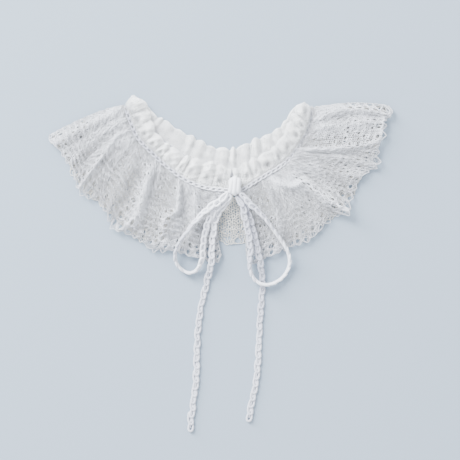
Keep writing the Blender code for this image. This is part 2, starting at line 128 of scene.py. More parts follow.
# Shader maths
class Sock:
    # a node's output, which +, - and * join to numbers and to other outputs with Math nodes
    def __init__(self, tree, out):
        self.tree = tree
        self.out = out

    def maths(self, operation, one, other):
        made = self.tree.nodes.new("ShaderNodeMath")
        made.operation = operation
        for slot, value in zip(made.inputs, (one, other)):
            connect(self.tree, slot, value)
        return Sock(self.tree, made.outputs[0])

    def __add__(self, other):
        return self.maths("ADD", self, other)

    def __sub__(self, other):
        return self.maths("SUBTRACT", self, other)

    def __rsub__(self, other):
        return self.maths("SUBTRACT", other, self)

    def __mul__(self, other):
        return self.maths("MULTIPLY", self, other)

    __radd__ = __add__
    __rmul__ = __mul__


def connect(tree, slot, value):
    if isinstance(value, Sock):
        tree.links.new(value.out, slot)
    else:
        slot.default_value = value


class Finish:
    # a material, with one method for any node
    def __init__(self, name):
        self.material = bpy.data.materials.new(name)
        self.material.use_nodes = True
        self.tree = self.material.node_tree
        self.shader = self.tree.nodes["Principled BSDF"]

    def node(self, kind, settings, inputs, output=0):
        made = self.tree.nodes.new(kind)
        for name, value in settings.items():
            setattr(made, name, value)
        for name, value in inputs.items():
            connect(self.tree, made.inputs[name], value)
        return Sock(self.tree, made.outputs[output])

    def set(self, **values):
        for name, value in values.items():
            connect(self.tree, self.shader.inputs[name.replace("_", " ")], value)


def cottonFinish(name, look):
    # painted light and shade: lighter high up and on the crests, with painted shade low down and in the
    # hollows
    finish = Finish(name)
    place = finish.node("ShaderNodeTexCoord", {}, {}, "Object")
    patches = finish.node("ShaderNodeTexNoise", {}, {
        "Vector": place, "Scale": look["patchScale"], "Detail": look["patchDetail"],
    })
    fuzz = finish.node("ShaderNodeTexNoise", {}, {
        "Vector": place, "Scale": look["fuzzScale"], "Detail": look["fuzzDetail"],
    })
    height = finish.node("ShaderNodeSeparateXYZ", {}, {"Vector": place}, "Z")
    # painted shade low down, turning to painted light towards the crest height
    fold = finish.node("ShaderNodeMapRange", {"interpolation_type": "SMOOTHSTEP"}, {
        "Value": height, "From Min": look["hollow"] * mm, "From Max": look["crest"] * mm,
    })
    # the painted light and shade stored on each vertex of yarn
    crest = finish.node("ShaderNodeAttribute", {"attribute_name": "crest"}, {}, "Fac")
    shade = fold * look["heightPaintedShadeShare"] + crest * look["yarnPaintedLightShare"]
    shade = shade + patches * look["patchShare"] + fuzz * look["fuzzShare"] - look["darker"]
    colour = finish.node("ShaderNodeMix", {"data_type": "RGBA"}, {
        0: shade, 6: look["shadow"], 7: look["light"],  # the factor and the two colours
    }, 2)
    bump = finish.node("ShaderNodeBump", {}, {
        "Strength": look["bump"], "Distance": look["bumpHeight"] * mm, "Height": fuzz,
    })
    finish.set(Base_Color=colour, Roughness=look["rough"] + patches * look["patchRough"], Normal=bump)
    finish.set(Sheen_Weight=look["sheen"], Specular_IOR_Level=look["specular"])
    return finish.material


cotton = {  # what every cotton starts from
    "patchScale": 90.0, "patchDetail": 3.0, "patchShare": 0.4, "patchRough": 0.1, "fuzzScale": 2600.0,
    "fuzzDetail": 2.0, "fuzzShare": 0.15, "darker": 0.15, "bump": 0.5, "bumpHeight": 0.12, "rough": 0.85,
    "sheen": 0.75, "specular": 0.25,
}
# The cottons are copies of one white cotton, coloured apart to paint light and shade: the frill and the chain
# lighter, the lace darker, and the lower layer warmer as in shade. Each one's light and shadow are its painted
# lit and shaded colours
laceCotton = cotton | {
    "light": (0.685, 0.70, 0.755, 1), "shadow": (0.335, 0.337, 0.362, 1), "hollow": 2.0, "crest": 8.0,
    "heightPaintedShadeShare": 0.35, "yarnPaintedLightShare": 0.43,
}
lowerCotton = cotton | {
    "light": (0.78, 0.76, 0.72, 1), "shadow": (0.62, 0.595, 0.55, 1), "hollow": 0.0, "crest": 2.5,
    "heightPaintedShadeShare": 0.3, "yarnPaintedLightShare": 0.4,
}
frillCotton = cotton | {
    "light": (0.995, 1.0, 1.0, 1), "shadow": (0.62, 0.635, 0.67, 1), "hollow": 0.0, "crest": 4.0,
    "heightPaintedShadeShare": 0.2, "yarnPaintedLightShare": 0.95, "sheen": 0.7,
}
chainCotton = cotton | {
    "light": (0.915, 0.925, 0.98, 1), "shadow": (0.47, 0.48, 0.555, 1), "hollow": 1.0, "crest": 11.0,
    "heightPaintedShadeShare": 0.15, "yarnPaintedLightShare": 0.7, "patchScale": 120.0, "fuzzScale": 2200.0, "rough": 0.82,
    "bumpHeight": 0.15, "sheen": 0.6,
}
laceFinish = cottonFinish("laceCotton", laceCotton)
lowerFinish = cottonFinish("lowerCotton", lowerCotton)
frillFinish = cottonFinish("frillCotton", frillCotton)
chainFinish = cottonFinish("chainCotton", chainCotton)
print("finishes made")


def addPiece(name, data, finish, node):
    piece = bpy.data.objects.new(name, data)
    data.materials.append(finish)
    bpy.context.scene.collection.objects.link(piece)
    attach(piece, "root")
    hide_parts(node)
    return piece


# Yarn
capGap = 1e-6  # metres, within which the corners of a cap and its yarn are joined


def joinCaps(data):
    # the caps at the ends of the yarn are made apart from it
    bm = bmesh.new()
    bm.from_mesh(data)
    bmesh.ops.remove_doubles(bm, verts=bm.verts, dist=capGap)
    bm.to_mesh(data)
    bm.free()


def storePaintedLight(data, spots, paintedLights):
    # each vertex takes the painted light and shade of its nearest point of yarn
    tree = KDTree(len(spots))
    for i, spot in enumerate(spots):
        tree.insert(spot * mm, i)
    tree.balance()
    layer = data.attributes.new("crest", "FLOAT", "POINT")
    layer.data.foreach_set("value", [paintedLights[tree.find(vert.co)[1]] for vert in data.vertices])


def yarnMesh(name, runs, section):
    # yarn along runs of points, each with whether it is closed, its thickness as a share of the section's and
    # its painted light and shade. section holds the curve settings that give the yarn its section
    curve = bpy.data.curves.new(name, "CURVE")
    curve.dimensions = "3D"
    curve.use_fill_caps = True
    for setting, value in section.items():
        setattr(curve, setting, value)
    for points, closed, thickness, paintedLight in runs:
        run = curve.splines.new("POLY")
        run.points.add(len(points) - 1)
        places = np.column_stack([np.asarray(points) * mm, np.ones(len(points))])
        run.points.foreach_set("co", places.ravel())
        run.points.foreach_set("radius", np.broadcast_to(thickness, len(points)))
        run.use_cyclic_u = closed
    holder = bpy.data.objects.new(name + "Curve", curve)
    bpy.context.scene.collection.objects.link(holder)
    graph = bpy.context.evaluated_depsgraph_get()
    data = bpy.data.meshes.new_from_object(holder.evaluated_get(graph))
    bpy.data.objects.remove(holder, do_unlink=True)
    bpy.data.curves.remove(curve)
    joinCaps(data)
    storePaintedLight(data, np.concatenate([run[0] for run in runs]), np.concatenate([run[3] for run in runs]))
    data.name = name
    data.shade_smooth()
    return data


def roundYarn(look):
    return {"bevel_depth": look["yarn"] / 2 * mm, "bevel_resolution": look["bevelSteps"]}


# Chain stitches
def frameAt(line, far):
    # place on the route, and the flat and upright sides of the chain there
    *spot, tilt = line.at(far)
    ahead = line.at(min(far + lookAhead, line.length))[:3] - line.at(max(far - lookAhead, 0.0))[:3]
    ahead /= np.linalg.norm(ahead)
    side = np.cross(ahead, (0, 0, 1))
    side /= np.linalg.norm(side)
    up = np.cross(side, ahead)
    turn = math.radians(tilt)
    return spot, math.cos(turn) * side - math.sin(turn) * up, math.sin(turn) * side + math.cos(turn) * up


def nearKnot(look, fromKnot):
    # share of its width that the chain has, so far from its tied ends
    share = 1.0
    for far in fromKnot:
        share *= look["knotWidth"] + (1 - look["knotWidth"]) * ramp(0.0, look["knotLength"], far)
    return share


def backRun(line, look, count):
    # the yarn along the back of the chain
    points = []
    inset = look["loop"] * look["backInset"]
    for far in np.linspace(inset, line.length - inset, count):
        spot, side, up = frameAt(line, far)
        place = spot - look["backDrop"] * up
        points.append((place[0], place[1], max(place[2], look["yarn"] * look["backYarn"] / 2)))
    # the back yarn takes one even painted light, set high on the loose chain to lighten the pits between its
    # stitches
    return points, False, look["backYarn"], np.full(len(points), look["backPaintedLight"])


def chainRuns(route, look, tiedEnds, paintedLights):
    # each stitch is a loop whose head lies over the start of the next one, over the yarn along the back
    rng = np.random.default_rng(len(route))
    line = PathLine(route)
    count = round((line.length - look["loop"]) / look["pitch"])
    pitch = (line.length - look["loop"]) / count
    runs = []
    for k in range(count + 1):
        middle = look["loop"] / 2 + k * pitch
        broader, drift, turned = look["uneven"] * rng.uniform(-1, 1, 3)
        turning = look["alternate"] * (-1) ** k  # every second stitch leans the other way
        points = []
        for turn in np.linspace(0, 2 * math.pi, look["points"], endpoint=False):
            far = min(max(middle - look["loop"] / 2 * math.cos(turn), 0.0), line.length)
            spot, side, up = frameAt(line, far)
            tight = nearKnot(look, (far, line.length - far)[:tiedEnds])
            across = (look["width"] - look["yarn"]) / 2 * tight * (1 + broader)
            spread = math.sin(turn) * (look["head"] - (1 - look["head"]) * math.cos(turn)) + drift
            lean = (look["lean"] + turned + turning) * math.cos(turn) + look["swing"] * turning
            lift = -look["lap"] / 2 * math.cos(turn)
            place = spot + across * (spread + lean) * side + lift * up
            points.append((place[0], place[1], max(place[2], look["yarn"] / 2)))
        # each stitch takes its painted light and shade from the list along the chain
        paintedLight = np.interp(middle / line.length, np.linspace(0, 1, len(paintedLights)), paintedLights)
        runs.append((points, True, 1.0, np.full(len(points), paintedLight)))
    runs.append(backRun(line, look, 2 * count))
    return runs, line


chainLook = {
    "pitch": 6.3, "loop": 10.2, "width": 7.2, "yarn": 2.1, "lap": 1.3, "head": 0.66, "lean": 0.16,
    "alternate": 0.2, "swing": 0.6, "points": 16, "bevelSteps": 1, "knotWidth": 0.9, "knotLength": 9.0,
    "uneven": 0.16, "backDrop": 0.95, "backYarn": 0.75, "backPaintedLight": 0.9, "backInset": 0.3,
}
casingLook = {
    "pitch": 5.2, "loop": 7.4, "width": 4.4, "yarn": 1.2, "lap": 0.9, "head": 0.8, "lean": 0.12,
    "alternate": 0.0, "swing": 0.6, "points": 14, "bevelSteps": 1, "uneven": 0.08, "backDrop": 2.2,
    "backYarn": 0.6, "backPaintedLight": 0.3, "backInset": 0.3,
}
pathSteps = 60
# The loose chain. A route holds x, y, z and the tilt in degrees, a list beside it the chain's painted light
# and shade along its length, and atKnot how broad it is at the knot and over what length
tailLeft = {
    "node": "tail_left", "farEnd": "bare", "tiedEnds": 1,
    "atKnot": {"knotWidth": 1.15, "knotLength": 26.0},
    "paintedLights": (1.0, 0.7, 0.1, 0.0, 0.0, 0.05, 0.0, 0.05),
    "route": (
        (10.9, -17.6, 7.6, 0), (3.2, -26.0, 7.6, 0), (-1.8, -33.3, 7.3, 0), (-5.2, -44.1, 7.2, 0),
        (-6.6, -56.7, 7.1, 0), (-7.2, -67.5, 7.1, 0), (-8.2, -77.5, 6.6, 0), (-10.4, -88.2, 2.9, 0),
        (-13.1, -99.0, 1.3, 0), (-15.8, -110.7, 1.2, 0), (-18.0, -122.4, 1.2, 0), (-19.8, -134.1, 1.2, 0),
        (-20.7, -146.7, 1.2, 0), (-20.7, -160.2, 1.2, 0), (-21.2, -173.7, 1.2, 0), (-22.0, -187.2, 1.2, 0),
        (-23.9, -200.7, 1.2, 0), (-25.7, -214.2, 1.2, 0), (-27.0, -228.6, 1.2, 0),
    ),
}
tailRight = {
    "node": "tail_right", "farEnd": "bare", "tiedEnds": 1,
    "atKnot": {},
    "paintedLights": (-0.7, -0.8, -0.75, -0.4, 0.0, 0.15, 0.0, 0.05),
    "route": (
        (16.2, -16.9, 7.7, 0), (23.0, -28.0, 8.0, 0), (27.0, -37.8, 7.9, 0), (30.6, -50.4, 7.9, 0),
        (33.3, -63.0, 7.8, 0), (36.0, -75.6, 7.4, 0), (37.8, -88.2, 2.9, 0), (38.1, -101.7, 1.3, 0),
        (36.9, -115.2, 1.2, 0), (36.0, -128.7, 1.2, 0), (35.1, -142.2, 1.2, 0), (34.7, -155.7, 1.2, 0),
        (34.2, -166.5, 1.2, 0), (32.4, -180.9, 1.2, 0), (30.2, -193.5, 1.2, 0), (27.9, -205.2, 1.2, 0),
        (25.7, -219.6, 1.2, 0),
    ),
}
loopLeft = {
    "node": "bow_loop_left", "farEnd": "object", "tiedEnds": 2,
    "atKnot": {"knotWidth": 1.2, "knotLength": 28.0},
    "paintedLights": (1.0, 1.0, -0.1, -0.5, 0.7, 1.0, 0.0, 0.2, 0.9),
    "route": (
        (7.3, -14.9, 12.2, 0), (1.4, -20.2, 12.8, 0), (-7.2, -26.5, 12.8, 5), (-15.3, -32.8, 12.5, 30),
        (-22.5, -40.5, 12.4, 55), (-28.8, -48.6, 12.4, 70), (-35.1, -56.7, 11.6, 78),
        (-38.7, -63.9, 10.0, 82), (-40.5, -71.1, 7.7, 85), (-38.7, -78.3, 5.4, 88), (-33.3, -84.2, 4.3, 90),
        (-27.0, -86.4, 4.1, 90), (-21.6, -84.2, 4.7, 80), (-17.6, -78.3, 6.8, 55), (-15.8, -70.2, 8.9, 30),
        (-14.9, -61.2, 9.8, 15), (-13.5, -52.2, 10.0, 5), (-11.5, -44.1, 10.1, 0), (-7.8, -36.0, 10.2, 0),
        (-2.6, -28.4, 10.3, 0), (4.4, -22.0, 10.1, 0), (9.6, -17.1, 9.8, 0),
    ),
}
loopRight = {
    "node": "bow_loop_right", "farEnd": "object", "tiedEnds": 2,
    "atKnot": {},
    "paintedLights": (-0.3, -0.8, -0.9, 0.3, 1.3, 1.2, 0.0, -0.2, -0.2),
    "route": (
        (15.4, -18.0, 10.6, 0), (20.2, -27.0, 11.2, 0), (22.5, -36.9, 11.2, 0), (24.6, -46.8, 11.2, 5),
        (26.6, -56.7, 11.1, 15), (27.3, -65.7, 10.7, 30), (26.6, -73.8, 9.4, 50), (26.8, -81.9, 7.0, 75),
        (29.2, -89.6, 6.4, 84), (34.2, -95.0, 6.9, 90), (41.0, -97.0, 6.6, 90), (48.6, -95.4, 4.4, 90),
        (56.3, -90.4, 3.3, 90), (61.2, -82.8, 4.2, 90), (62.6, -74.7, 6.6, 88), (60.3, -65.7, 9.4, 86),
        (54.9, -57.0, 11.6, 84), (48.6, -48.2, 12.9, 78), (42.3, -40.0, 13.6, 62), (35.1, -32.0, 13.9, 35),
        (28.2, -25.0, 14.0, 10), (18.7, -15.2, 12.4, 0),
    ),
}
cords = {"tailLeft": tailLeft, "tailRight": tailRight, "loopLeft": loopLeft, "loopRight": loopRight}
for name, cord in cords.items():
    runs, line = chainRuns(cord["route"], chainLook | cord["atKnot"], cord["tiedEnds"], cord["paintedLights"])
    piece = addPiece(name, yarnMesh(name, runs, roundYarn(chainLook)), chainFinish, cord["node"])
    path = [tuple(line.at(line.length * i / pathSteps)[:3] * mm) for i in range(pathSteps + 1)]
    print(name, "made,", round(line.length), "mm long")

# Neck lines, from left to right: x and y
neckLeft = (
    (-85.5, 64.8), (-81.0, 51.3), (-74.0, 35.5), (-60.5, 20.7), (-46.8, 8.3), (-30.6, -2.9), (-13.5, -9.7),
    (8.6, -12.2),
)
neckRight = (
    (18.4, -12.8), (28.8, -6.3), (43.2, 2.7), (57.6, 11.7), (68.4, 24.3), (76.5, 36.9), (81.5, 49.5),
    (82.8, 64.8),
)
neckBack = (
    (-84.6, 63.9), (-69.3, 48.6), (-48.6, 29.7), (-27.0, 14.8), (-3.6, 3.4), (20.7, 3.4), (43.2, 15.8),
    (62.1, 36.0), (74.7, 54.0), (81.9, 64.8),
)

# The drawstring where it is threaded. Towards the sides it sinks between the cloths, over a span that is given
# in shares of the half width
threading = {"halfWidth": 85.0, "sinkSpan": (0.5, 0.95), "points": 30}
# each thread's list gives its painted light and shade along its length, with painted shade towards the sides,
# where it sinks
threadLeft = {
    "node": "drawstring_left", "neck": neckLeft, "gaps": (1.5, 0.0), "height": 5.7, "sink": 1.2,
    "paintedLights": (-0.4, -0.4, -0.3, 0.2, 0.8, 1.0),
}
threadRight = {
    "node": "drawstring_right", "neck": neckRight, "gaps": (0.0, 1.5), "height": 5.7, "sink": 2.2,
    "paintedLights": (0.4, 0.5, 0.5, 0.0, -0.4, -0.4),
}
threadBack = {
    "node": "drawstring_back", "neck": neckBack, "gaps": (9.0, 9.0), "height": 2.45, "sink": 0.0,
    "paintedLights": (0.3, 0.3),
}
threads = {"threadLeft": threadLeft, "threadRight": threadRight, "threadBack": threadBack}
for name, thread in threads.items():
    line = PathLine(thread["neck"])
    route = []
    for far in np.linspace(thread["gaps"][0], line.length - thread["gaps"][1], threading["points"]):
        outward = abs(line.at(far)[0]) / threading["halfWidth"]
        height = thread["height"] - thread["sink"] * ramp(*threading["sinkSpan"], outward)
        route.append((*line.at(far), height, 0))
    runs, line = chainRuns(route, casingLook, 0, thread["paintedLights"])
    addPiece(name, yarnMesh(name, runs, roundYarn(casingLook)), chainFinish, thread["node"])
print("drawstring threaded")

# The knot, turns of cord side by side
knotLook = {
    "middle": (13.2, -8.2, 10.2), "size": (10.6, 17.8, 9.6), "turns": 3, "yarn": 4.2, "bevelSteps": 2,
    "points": 28, "full": 0.6, "taper": 0.25, "slant": 1.2, "round": 0.35,
}
halfX, halfY, halfZ = ((side - knotLook["yarn"]) / 2 for side in knotLook["size"])
runs = []
for k in range(knotLook["turns"]):
    across = 2 * k / (knotLook["turns"] - 1) - 1
    girth = math.sqrt(1 - knotLook["round"] * across**2)
    points = []
    for turn in np.linspace(0, 2 * math.pi, knotLook["points"], endpoint=False):
        along, over = math.cos(turn), math.sin(turn)
        narrow = 1 - knotLook["taper"] * max(along, 0.0)
        x = halfX * across * narrow + knotLook["slant"] * along * over
        y = halfY * girth * math.copysign(abs(along) ** knotLook["full"], along)
        z = halfZ * girth * math.copysign(abs(over) ** knotLook["full"], over)
        points.append(np.array(knotLook["middle"]) + (x, y, z))
    # every turn of the knot takes full painted light
    runs.append((points, True, 1.0, np.ones(len(points))))
addPiece("knotTurns", yarnMesh("knotTurns", runs, roundYarn(knotLook)), chainFinish, "bow_knot")
print("knot tied")


# Knitting. A cloth is knitted flat, as a cut so many mm wide and deep, and then laid in its folds
knitLook = {
    "corners": 3, "yarnWide": 1.45, "yarnHigh": 0.6,  # the yarn's section
    "stitchPoints": 8, "loopSway": 0.2, "loopReach": 0.82, "loopRise": 0.28,  # a loop of yarn
    "patternRise": 0.72, "patternFlat": 0.4, "thin": 0.7, "thick": 1.2, "yarnRange": (0.3, 1.6),
    "slack": 0.12, "slackYarn": 0.12, "wobbleUp": 0.5,
    # a crease's crest thickens the yarn and gives it painted light, and the borders' yarn has painted light
    # too
    "fullCrest": 0.4, "crestYarn": 0.35, "creasePaintedLight": 0.5,
    "borderPoints": 3, "borderYarn": (0.8, 1.15), "borderPaintedLight": 0.9,
    "holeReach": 3, "holeSoft": 1.5, "cutPoints": 1200,
}


def yarnSection(name):
    # the flattened section of a yarn 1 mm thick
    ring = bpy.data.curves.new(name + "Section", "CURVE")
    corners = ring.splines.new("POLY")
    corners.points.add(knitLook["corners"] - 1)
    for k, corner in enumerate(corners.points):
        turn = 2 * math.pi * k / knitLook["corners"] - math.pi / 2
        wide, high = math.cos(turn) * knitLook["yarnWide"], -math.sin(turn) * knitLook["yarnHigh"]
        corner.co = (wide * mm / 2, high * mm / 2, 0, 1)
    corners.use_cyclic_u = True
    holder = bpy.data.objects.new(name + "Section", ring)
    bpy.context.scene.collection.objects.link(holder)
    return holder


def crestAt(spots, creases):
    # how far each place is up the creases, lines of (x, y) seen from above with a width and a rise, which
    # paints light on a rise and shade on a fall. A low rise or fall only makes the cloth closer with painted
    # light or thinner with painted shade
    rise, crest = np.zeros(len(spots)), np.zeros(len(spots))
    for width, high, line in creases:
        near = np.full(len(spots), np.inf)
        fine = np.linspace(0, len(line) - 1, creaseSteps * len(line))
        places = np.array([smoothRow(line, t) for t in fine])
        for one, other in zip(places, places[1:]):
            step = other - one
            share = np.clip(((spots - one) @ step) / (step @ step), 0, 1)
            near = np.minimum(near, np.linalg.norm(spots - one - share[:, None] * step, axis=1))
        shape = np.exp(-((near / width) ** 2))
        rise += high * shape
        crest += min(max(high / knitLook["fullCrest"], -1), 1) * shape
    return rise, np.clip(crest, -1, 1)


def openHoles(x, y, holes):
    # the yarn is pushed out of each hole, (x, y, radius) in the flat cut, and crowds at its rim
    for holeX, holeY, radius in holes:
        reach = knitLook["holeReach"] * radius
        near = (abs(x - holeX) < reach) & (abs(y - holeY) < reach)
        dx, dy = x[near] - holeX, y[near] - holeY
        far = np.hypot(dx, dy) + 1e-6  # never nil, as it divides
        push = radius * np.exp(-((far / (knitLook["holeSoft"] * radius)) ** 2))
        x[near] += push * dx / far
        y[near] += push * dy / far
    return x, y


def knit(look, width, toSpace, holes, pattern, edge, rng):
    # rows of loops, each drawn through the row before, and a thicker yarn along the borders
    runs = []
    stitches, courses = look["stitches"], look["courses"]
    stitch, course = width / stitches, look["depth"] / courses
    turns = np.arange(stitches * knitLook["stitchPoints"] + 1) * 2 * math.pi / knitLook["stitchPoints"]
    each = np.minimum((turns / (2 * math.pi)).astype(int), stitches)
    slack = rng.normal(0, 1, (courses + 1, stitches + 1))

    def lay(x, y, above, thick, high):
        points, crest = toSpace(x, y, above)
        points += rng.normal(0, look["wobble"], (len(x), 3)) * (1, 1, knitLook["wobbleUp"])
        thick = np.clip(thick, *knitLook["yarnRange"]) * (1 + knitLook["crestYarn"] * crest)
        points[:, 2] = np.maximum(points[:, 2], look["floor"] + thick / 2)
        # painted light where the pattern stands high and up the creases, painted shade where it is low
        runs.append((points, False, thick, np.clip(high + knitLook["creasePaintedLight"] * crest, 0, 1)))

    for row in range(courses):
        x = stitch * turns / (2 * math.pi) + knitLook["loopSway"] * stitch * np.sin(2 * turns)
        y = (row + 0.5) * course - knitLook["loopReach"] * course * np.cos(turns)
        y = y + knitLook["slack"] * course * slack[row][each]
        high = pattern(x, y)
        thick = knitLook["thin"] + (knitLook["thick"] - knitLook["thin"]) * high
        thick = thick * (1 + knitLook["slackYarn"] * slack[row + 1][each])
        above = knitLook["loopRise"] * np.cos(turns)
        above = above + knitLook["patternRise"] * (high - knitLook["patternFlat"])
        x, y = openHoles(x, y, holes)
        x, y = np.clip(x, 0, width), np.clip(y, 0, edge(x))
        lay(x, y, above, look["yarn"] * thick, high)
    for across, thick in look["borders"]:
        x = np.linspace(0, width, stitches * knitLook["borderPoints"])
        thick = look["yarn"] * thick * rng.uniform(*knitLook["borderYarn"], len(x))
        # the borders' yarn takes an even painted highlight
        lay(x, edge(x) * across, np.zeros(len(x)), thick, np.full(len(x), knitLook["borderPaintedLight"]))
    return runs


def clothPiece(name, look, width, toSpace, runs):
    section = yarnSection(name)
    data = yarnMesh(name, runs, {"bevel_mode": "OBJECT", "bevel_object": section, "twist_mode": "Z_UP"})
    bpy.data.objects.remove(section, do_unlink=True)
    piece = addPiece(name, data, look["finish"], look["node"])
    # the cloth's places across its folds, at a share of its depth
    x = np.linspace(0, width, knitLook["cutPoints"])
    across = toSpace(x, np.full(len(x), look["cutAt"] * look["depth"]), 0)[0]
    look["depth"] * mm


# How the cloths leave the neck line: in mm, or in shares of the depth
neckLook = {
    "seamHalf": 0.8, "flat": 0.16, "slope": 0.5, "creaseFade": (0.02, 0.2),
    "gatherPitch": 8.7, "gatherUp": (0.04, 0.14), "gatherDown": (0.16, 0.5),
    "swellUp": (0.0, 0.045), "swellDown": (0.05, 0.2), "swellEven": 0.6,
}
# Holes in the flounce: how far they stray from their places, across and down, and how much they vary in size
holeLook = {
    "hemStray": (0.7, 0.6), "hemSizes": (0.65, 1.15), "secondSizes": (0.6, 1.05),
    "smallSize": 0.45, "smallPlaces": (0.3, 0.7), "leafStray": (0.5, 0.4), "leafSizes": (0.5, 1.5),
    "bandStray": (0.12, 0.3), "bandSizes": (0.5, 1.1), "beadSwing": 1.15,
    "zigzagInset": 4.2, "zigzagSwing": 1.9, "zigzagStart": 0.44, "zigzagStep": 4.0, "zigzagHole": 2.2,
}
# The flounce's relief, from 0 in its hollows to 1 on its crests, which also gives its yarn painted shade in
# the hollows and painted light on the crests. The drift of its ridges is a few waves
reliefLook = {
    "middle": 0.45, "blend": (-6, 2), "patchLengths": (13.0, 9.0), "patchDepth": 0.25, "mottleWaves": 12,
    "drift": ((1 / 11.0, 0, 0, 1.5), (1 / 4.3, 0, 1.0, 0.9), (1 / 2.3, 1 / 5.0, 0, 0.6)),
}
# The hem: how tall its points are, how far in they start, and the size and length of its two waves
hemLook = {"points": (0.2, 1.6), "inset": 0.35, "waves": ((0.8, 6.7), (0.6, 3.1))}


def depthsOf(look):
    # how deep the leaves end and the two rows of hem meshes begin
    return [share * look["depth"] for share in (look["leafEnd"], *look["hemRows"])]


def flounceColumns(folds, pitch):
    # the columns of the flat cut, one pitch apart, each by its place among the folds
    columns = [0.0]
    for i, (one, other) in enumerate(zip(folds, folds[1:])):
        pairs = max(1, round(math.hypot(other[3] - one[3], other[4] - one[4]) / (2 * pitch)))
        columns += [i + (k + 1) / (2 * pairs) for k in range(2 * pairs)]
    return columns


def strayHole(rng, x, y, radius, stray, sizes):
    # a hole a little off its place and its size
    return x + rng.normal(0, stray[0]), y + rng.normal(0, stray[1]), radius * rng.uniform(*sizes)


def hemHoles(look, width, rng):
    # a row of meshes along the hem, and over it a row of meshes and pairs of small holes in turn
    leafEnd, upper, lower = depthsOf(look)
    cell, stray = 2 * look["pitch"], holeLook["hemStray"]
    first, second = (lower + look["depth"]) / 2, (upper + lower) / 2
    holes = []
    for k in range(round(width / cell)):
        x = (k + 0.5) * cell
        holes.append(strayHole(rng, x, first, look["mesh"], stray, holeLook["hemSizes"]))
        if k % 2 == 0 and look["openSecond"]:
            holes.append(strayHole(rng, x, second, look["mesh"], stray, holeLook["secondSizes"]))
        else:
            small = look["mesh"] * holeLook["smallSize"]
            holes += [((k + place) * cell, second, small) for place in holeLook["smallPlaces"]]
    return holes


def leafHoles(look, width, rng):
    # small holes in rows of chevrons, near the neck
    pitchX, pitchY = look["leafPitch"]
    stepX, stepY = look["leafStep"]
    stray, sizes = holeLook["leafStray"], holeLook["leafSizes"]
    places = [(side * k, k) for k in range(look["leafHoles"]) for side in ((-1, 1) if k else (1,))]
    holes = []
    for row in range(1, int(look["leafEnd"] * look["depth"] / pitchY) + 1):
        for k in range(-1, int(width / pitchX) + 2):
            for across, down in places:
                x, y = (k + 0.5) * pitchX + across * stepX, row * pitchY + down * stepY
                holes.append(strayHole(rng, x, y, look["leafHole"], stray, sizes))
    return holes


def zigzagHoles(look, columns, width):
    # larger holes in a zigzag beside the end, and holes in turn on each side of the beaded folds' crests
    x, y = width - holeLook["zigzagInset"], holeLook["zigzagStart"] * look["depth"]
    rows = [(x, y, look["zigzag"], holeLook["zigzagStep"], holeLook["zigzagSwing"], holeLook["zigzagHole"])]
    for fold, first, last, radius, step in look["beaded"]:
        x, y = np.interp(fold, columns, range(len(columns))) * look["pitch"], first * look["depth"]
        count = int((last - first) * look["depth"] / step)
        rows.append((x, y, count, step, holeLook["beadSwing"] * radius, radius))
    return [
        (x + swing * (-1) ** k, y + step * k, radius)
        for x, y, count, step, swing, radius in rows for k in range(count)
    ]


def bandHoles(look, width, bands, rng):
    # rows of holes between the ridges
    leafEnd, upper, lower = depthsOf(look)
    stray = (holeLook["bandStray"][0] * look["bandStep"], holeLook["bandStray"][1])
    holes = []
    for band in range(bands):
        y = leafEnd + (band + 0.5) * (upper - leafEnd) / bands
        for k in range(int(width / look["bandStep"]) + 1):
            x = (k + 0.5 * (band % 2)) * look["bandStep"]
            holes.append(strayHole(rng, x, y, look["bandHole"], stray, holeLook["bandSizes"]))
    return holes


def flounceRelief(look, bands, rng):
    # leaves near the neck and ridges along the hem, with a mottle over both
    leafEnd, upper, lower = depthsOf(look)
    pitchX, pitchY = look["leafPitch"]
    patchX, patchY = reliefLook["patchLengths"]
    middle, count = reliefLook["middle"], reliefLook["mottleWaves"]
    mottle = softWaves(rng, count, look["mottleLength"], look["mottle"] / count)

    def relief(x, y):
        chevron = y - abs((x / pitchX) % 1 - 0.5) * 2 * look["leafHoles"] * look["leafStep"][1]
        leaf = 0.5 + 0.5 * np.cos(2 * math.pi * chevron / pitchY)
        drift = waveHeight(reliefLook["drift"], x, y)
        ridge = 0.5 + 0.5 * np.cos(2 * math.pi * (y + drift - leafEnd) / (upper - leafEnd) * bands)
        patches = np.sin(x / patchX + look["seed"]) * np.sin(y / patchY)
        strong = look["ridgeStrength"] * (1 - reliefLook["patchDepth"] * (1 - patches))
        ridged = ramp(leafEnd + reliefLook["blend"][0], leafEnd + reliefLook["blend"][1], y)
        high = (middle + (leaf - 0.5) * look["leafStrength"]) * (1 - ridged)
        high = high + (middle + (ridge**2 - middle) * strong) * ridged
        return np.clip(high + waveHeight(mottle, x, y), 0, 1)

    return relief


def flounceHem(look, width, rng):
    # the hem wanders a little and has a point at each mesh
    cell = 2 * look["pitch"]
    (large, long), (small, short) = hemLook["waves"]
    points = rng.uniform(*hemLook["points"], round(width / cell) + 1)

    def edge(x):
        which = np.minimum((x / cell).astype(int), len(points) - 1)
        slow = large * np.sin(x / long + look["seed"]) + small * np.sin(x / short)
        point = points[which] * (1 - abs(1 - 2 * (x / cell % 1)))
        return look["depth"] + slow - look["point"] * (hemLook["inset"] - point)

    return edge


